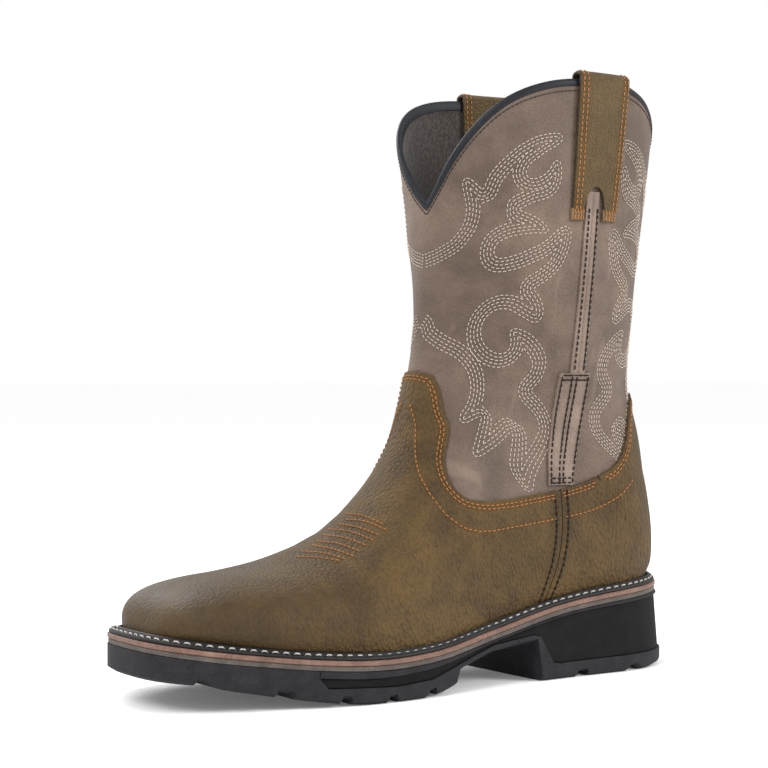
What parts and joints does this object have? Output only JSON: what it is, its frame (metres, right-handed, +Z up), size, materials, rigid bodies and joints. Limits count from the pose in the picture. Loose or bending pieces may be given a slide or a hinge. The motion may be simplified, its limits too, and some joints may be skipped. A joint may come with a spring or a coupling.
{
  "type": "western work boot",
  "caption": "Left western work boot: hollow pull-on shaft with scalloped collar and pull straps over a broad-toed foot, on a welted, layered sole with a lugged tread and a low heel.",
  "frame": {"origin": "centre of the bounding box in plan, on the plane that the heel and the forefoot stand on", "axes": "+X towards the toe, +Y towards the outer (lateral) side of the left foot, +Z up along the shaft"},
  "size_m": [0.3166, 0.1151, 0.3107],
  "materials": {
    "brown_leather": "oiled nubuck, brown, satin",
    "taupe_leather": "smooth matt grey-brown",
    "black_piping": "black binding, satin",
    "black_welt": "black welt, matt",
    "grey_rubber": "moulded dark grey rubber, matt",
    "black_foam": "fine-pored black foam, matt",
    "tan_midsole": "dyed midsole edge, satin",
    "taupe_midsole": "dyed midsole edge, matt",
    "insole_cloth": "brown lining cloth"
  },
  "bodies": {
    "root": {"outsole": "grey_rubber", "sole_wedge": "black_foam", "sole_rim": "grey_rubber", "midsole_lower": "taupe_midsole", "midsole": "tan_midsole", "welt": "black_welt", "insole": "insole_cloth", "upper": "taupe_leather", "vamp": "brown_leather", "counter": "brown_leather", "collar_binding": "black_piping", "pull_strap_lateral": "brown_leather", "pull_strap_medial": "brown_leather", "seam_strip_lateral": "taupe_leather", "seam_strip_medial": "taupe_leather", "seam_patch_lateral": "taupe_leather", "seam_patch_medial": "taupe_leather"}
  },
  "joints": []
}
